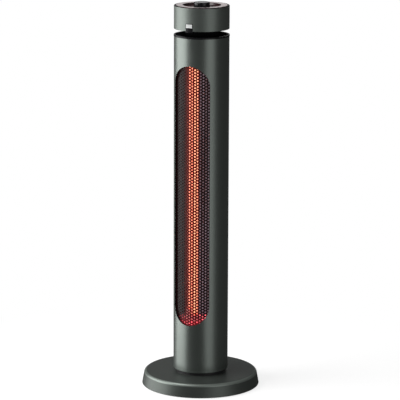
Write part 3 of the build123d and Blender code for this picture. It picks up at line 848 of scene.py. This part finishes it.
class HEATER_OT_filaments(bpy.types.Operator):
    """Wind the two glowing carbon bands with their straight leads"""

    bl_idname = "heater.filaments"
    bl_label = "Glowing bands"
    bl_options = {"REGISTER", "UNDO"}

    def section(self, context, name, sizes):
        """The band's cross-section, upright and at the coil's radius."""
        start_clean()
        bpy.ops.mesh.primitive_plane_add(size=1.0)
        coil = context.object
        coil.name = name
        edit_all()
        bpy.ops.mesh.delete(type="ONLY_FACE")
        bpy.ops.mesh.select_all(action="SELECT")
        bpy.ops.transform.resize(value=(sizes.thickness, sizes.band, 1.0), center_override=(0, 0, 0))
        bpy.ops.object.mode_set(mode="OBJECT")
        coil.rotation_euler.x = math.pi / 2
        apply_place()
        coil.location.x = sizes.coil_radius - sizes.thickness / 2
        apply_place()
        return coil

    def wind(self, context, name, low, high, glow_low, finish):
        """One wound band between its two leads."""
        sizes = context.scene.heater_tubes
        joint, glow_high = sizes.joint, sizes.glow_top
        coil = self.section(context, name, sizes)
        shaped(
            coil, "SCREW", axis="Z", angle=math.tau, screw_offset=sizes.pitch,
            iterations=int((glow_high - glow_low) / sizes.pitch),
            steps=COIL_STEPS, render_steps=COIL_STEPS, use_merge_vertices=False,
        )
        bpy.ops.object.mode_set(mode="EDIT")
        choose(coil, "edges", lambda e: e.is_boundary)
        bpy.ops.mesh.fill_holes(sides=4)
        bpy.ops.mesh.select_all(action="SELECT")
        bpy.ops.transform.translate(value=(0, 0, glow_low))
        leads = (
            (low.z, glow_low - low.z - joint, joint),
            (high.z, glow_high - high.z + joint, -joint),
        )
        for start, straight, slant in leads:
            bpy.ops.mesh.select_all(action="DESELECT")
            bpy.ops.mesh.primitive_circle_add(
                vertices=LEAD_SIDES, radius=sizes.lead, fill_type="NGON", location=(0, 0, start)
            )
            for step in ((0, 0, straight), (sizes.coil_radius * 0.9, 0, slant)):
                bpy.ops.mesh.extrude_region_move(TRANSFORM_OT_translate={"value": step})
        bpy.ops.object.mode_set(mode="OBJECT")
        coil.location = ((low.x + high.x) / 2, (low.y + high.y) / 2, 0)
        settle(coil)
        coil.data.materials.append(finish)
        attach(coil, "column")
        return coil

    def execute(self, context):
        tubes = context.scene.heater_tubes
        low_left, low_right = tubes.left_bottom, tubes.right_bottom
        ends = {"cool": tubes.cool_end, "high": tubes.glow_top, "fade": tubes.fade}
        left_heat = hot_carbon("carbon_left", tubes.left_glow, tubes.left_strength, low_left, **ends)
        right_heat = hot_carbon("carbon_right", tubes.right_glow, tubes.right_strength, low_right, **ends)
        left = self.wind(context, "wound_band_left", left_low, left_high, low_left, left_heat)
        right = self.wind(context, "wound_band_right", right_low, right_high, low_right, right_heat)
        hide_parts("carbon_filament_left")
        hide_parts("carbon_filament_right")
        return {"FINISHED"}


class HEATER_OT_outer_finishes(bpy.types.Operator):
    """Finish the pieces that show from outside"""

    bl_idname = "heater.outer_finishes"
    bl_label = "Outer finishes"
    bl_options = {"REGISTER", "UNDO"}

    def execute(self, context):
        shades = context.scene.heater_finish
        wear(satin_paint("casing_paint", shades.casing, 0.38), "column_casing")
        wear(brushed_band("head_band", tinted(shades.casing, 1.08), shades.gloss), "head_shell")
        wear(satin_paint("rim_paint", tinted(shades.casing, 1.2), 0.36), "foot_rim")
        wear(shoulder_highlight_paint("base_paint", shades.base), "base_cover")
        wear(gloss_plastic("gloss_black", shades.gloss, 0.20, 0.2), "neck", "receiver_holder")
        wear(gloss_plastic("cap_black", shades.gloss, 0.45, 0.0), "column_top_cap")
        wear(gloss_plastic("knob_black", tinted(shades.gloss, 1.4), 0.18), "control_knob")
        wear(moulded_plastic("dish_dark", shades.dish, 0.34), "control_dish")
        wear(ring_metal("rose_metal", shades.ring, shades.ring_edge), "trim_ring")
        wear(milk_window("window_pale", shades.window), "receiver_window")
        wear(moulded_plastic("black_plastic", shades.plastic, 0.48),
             "window_frame", "turntable", "head_base", "bearing_ring", "tip_switch_housing",
             "tip_microswitch", "thermal_cutout", "rotary_switch")
        wear(soft_rubber("rubber"), "rubber_feet", "cord_grommet")
        return {"FINISHED"}


class HEATER_OT_inner_finishes(bpy.types.Operator):
    """Finish the tubes, the reflector and the pieces inside"""

    bl_idname = "heater.inner_finishes"
    bl_label = "Inner finishes"
    bl_options = {"REGISTER", "UNDO"}

    def execute(self, context):
        shades, tubes = context.scene.heater_finish, context.scene.heater_tubes
        wear(studio_mirror("polished", shades.mirror, shades.sheen), "reflector", "chamber_ceiling")
        wear(lit_plate("floor_metal", shades.chamber, tubes.floor_glow), "chamber_floor")
        wear(quartz_glass("quartz", tubes.tube_glow), "quartz_tube_left", "quartz_tube_right")
        wear(fired_ceramic("ceramic", tubes.floor_glow), "lower_tube_caps", "upper_tube_caps")
        wear(zinc_plate("zinc", shades.zinc), "base_screws", "oscillation_motor", "motor_screws",
             "casing_screws", "rear_spine", "lower_tube_bracket", "upper_tube_bracket", "switch_nut")
        wear(worked_metal("steel", shades.steel, 0.28, (1.0, 1.0, 0.05)),
             "base_plate", "motor_shaft", "tip_spring", "knob_spindle")
        wear(cast_iron("iron"), "ballast_weight")
        wear(white_acetal("white_pom"), "drive_pinion", "tip_plunger", "turntable_gear", "board_posts")
        wear(circuit_board("board_green"), "control_board")
        return {"FINISHED"}


class HEATER_OT_stage(bpy.types.Operator):
    """Set the floor, the white surroundings, the soft lights and the camera"""

    bl_idname = "heater.stage"
    bl_label = "Studio"
    bl_options = {"REGISTER", "UNDO"}

    def surroundings(self, context, stage):
        """White where the camera looks, a dark studio with a white backdrop in reflections."""
        world = bpy.data.worlds.new("studio")
        context.scene.world = world
        air = Shader(world)
        camera = air.node("ShaderNodeLightPath", output="Is Camera Ray")
        glossy = air.node("ShaderNodeLightPath", output="Is Glossy Ray")
        mirrored = glossy.larger(air.node("ShaderNodeLightPath", output="Is Transmission Ray"))
        aim = air.node("ShaderNodeTexCoord", output="Generated")
        behind = (-math.sin(stage.camera_round), math.cos(stage.camera_round), 0.0)
        facing = air.node(
            "ShaderNodeVectorMath", {"operation": "DOT_PRODUCT"}, {0: aim, 1: behind}, "Value"
        )
        ceiling = air.ramp(air.part(aim, "Z"), *CEILING_EDGE)
        dark = stage.studio + ceiling * (stage.overhead - stage.studio)
        in_metal = air.ramp(facing, *BACKDROP_EDGE).larger(dark)
        level = camera + (1.0 - camera) * (mirrored * in_metal + (1.0 - mirrored) * stage.ambient)
        sky = air.node("ShaderNodeBackground", {}, {"Color": (1.0, 1.0, 1.0), "Strength": level})
        air.node("ShaderNodeOutputWorld", {}, {"Surface": sky})

    def floor(self, context, stage):
        """A pale disc that keeps the shadow, fades into the white and is clear from below."""
        start_clean()
        bpy.ops.mesh.primitive_circle_add(vertices=FLOOR_SIDES, radius=stage.floor_radius, fill_type="NGON")
        disc = context.object
        disc.name = "studio_floor"
        edit_all()
        bpy.ops.mesh.inset(thickness=stage.floor_radius * 0.5)
        bpy.ops.object.mode_set(mode="OBJECT")
        pale = new_shader("studio_floor")
        camera = pale.node("ShaderNodeLightPath", output="Is Camera Ray")
        fade_start, fade_end = (stage.floor_radius * part for part in FLOOR_FADE)
        far = pale.ramp(pale.reach(pale.place()), fade_start, fade_end)
        grain = pale.noise(300.0, 2.0)
        body = pale.node(
            "ShaderNodeBsdfPrincipled", {},
            {"Base Color": pale.mix(grain, (0.40, 0.40, 0.40), (0.42, 0.42, 0.42)), "Roughness": 0.9},
        )
        lift = pale.node("ShaderNodeEmission", {}, {"Color": (1.0, 1.0, 1.0), "Strength": FLOOR_LIFT})
        lit = pale.node("ShaderNodeAddShader", {}, {0: body, 1: lift})
        white = pale.node("ShaderNodeEmission", {}, {"Color": (1.0, 1.0, 1.0), "Strength": 1.0})
        pale_floor = pale.node("ShaderNodeMixShader", {}, {0: far, 1: lit, 2: white})
        clear = pale.node("ShaderNodeBsdfTransparent")
        below = pale.node("ShaderNodeNewGeometry", output="Backfacing")
        whole = pale.node("ShaderNodeMixShader", {}, {0: camera * (1.0 - below), 1: clear, 2: pale_floor})
        pale.node("ShaderNodeOutputMaterial", {}, {"Surface": whole})
        disc.data.materials.append(pale.owner)

    def lamp(self, context, stage, name, power, size, angle, reach, height, aim):
        """One soft rectangular light, placed by its angle to the right of the camera."""
        light = bpy.data.lights.new(name, "AREA")
        light.shape = "RECTANGLE"
        light.size, light.size_y = size
        light.energy = power
        holder = bpy.data.objects.new(name, light)
        context.scene.collection.objects.link(holder)
        turned = stage.camera_round + math.radians(angle)
        place = Vector((math.sin(turned) * reach, -math.cos(turned) * reach, height))
        holder.location = place
        holder.rotation_euler = (Vector((0, 0, aim)) - place).to_track_quat("-Z", "Y").to_euler()

    def camera(self, context, stage):
        """The camera, fitted to the photo's view."""
        camera = bpy.data.cameras.new("photo_camera")
        camera.sensor_width = 36.0
        camera.lens = stage.camera_lens
        holder = bpy.data.objects.new("photo_camera", camera)
        context.scene.collection.objects.link(holder)
        looking = (
            Matrix.Rotation(stage.camera_round, 4, "Z")
            @ Matrix.Rotation(math.pi / 2 - stage.camera_down, 4, "X")
            @ Matrix.Rotation(stage.camera_roll, 4, "Z")
        )
        holder.matrix_world = Matrix.Translation(stage.camera_place) @ looking
        context.scene.camera = holder

    def execute(self, context):
        stage = context.scene.heater_stage
        context.scene.view_settings.view_transform = "Standard"
        self.surroundings(context, stage)
        self.floor(context, stage)
        self.lamp(context, stage, "key_light", stage.key_power, **KEY_LIGHT)
        self.lamp(context, stage, "fill_light", stage.fill_power, **FILL_LIGHT)
        self.lamp(context, stage, "top_light", stage.top_power, **TOP_LIGHT)
        self.camera(context, stage)
        return {"FINISHED"}


# Panel and registration


class HEATER_PT_panel(bpy.types.Panel):
    """Builds and settings of the heater"""

    bl_idname = "HEATER_PT_panel"
    bl_label = "Heater"
    bl_space_type = "VIEW_3D"
    bl_region_type = "UI"
    bl_category = "Heater"

    def draw(self, context):
        for operator in OPERATORS:
            self.layout.operator(operator.bl_idname)
        for name in SETTINGS:
            box = self.layout.box()
            group = getattr(context.scene, name)
            for key in group.__annotations__:
                box.prop(group, key)


SETTINGS = {
    "heater_guard": HeaterGuardSettings,
    "heater_tubes": HeaterTubeSettings,
    "heater_finish": HeaterFinishSettings,
    "heater_stage": HeaterStageSettings,
}
OPERATORS = (
    HEATER_OT_stage,
    HEATER_OT_outer_finishes,
    HEATER_OT_inner_finishes,
    HEATER_OT_guard,
    HEATER_OT_top_trim,
    HEATER_OT_filaments,
)


def register():
    """Make the settings, operators and panel known."""
    for kind in (*SETTINGS.values(), *OPERATORS, HEATER_PT_panel):
        bpy.utils.register_class(kind)
    for name, kind in SETTINGS.items():
        setattr(bpy.types.Scene, name, bpy.props.PointerProperty(type=kind))


def unregister():
    """Forget the settings, operators and panel."""
    for name in SETTINGS:
        delattr(bpy.types.Scene, name)
    for kind in reversed((*SETTINGS.values(), *OPERATORS, HEATER_PT_panel)):
        bpy.utils.unregister_class(kind)


def main():
    """Build everything in order."""
    register()
    bpy.ops.heater.stage()
    bpy.ops.heater.outer_finishes()
    bpy.ops.heater.inner_finishes()
    bpy.ops.heater.guard()
    bpy.ops.heater.top_trim()
    bpy.ops.heater.filaments()


if __name__ == "__main__":
    main()
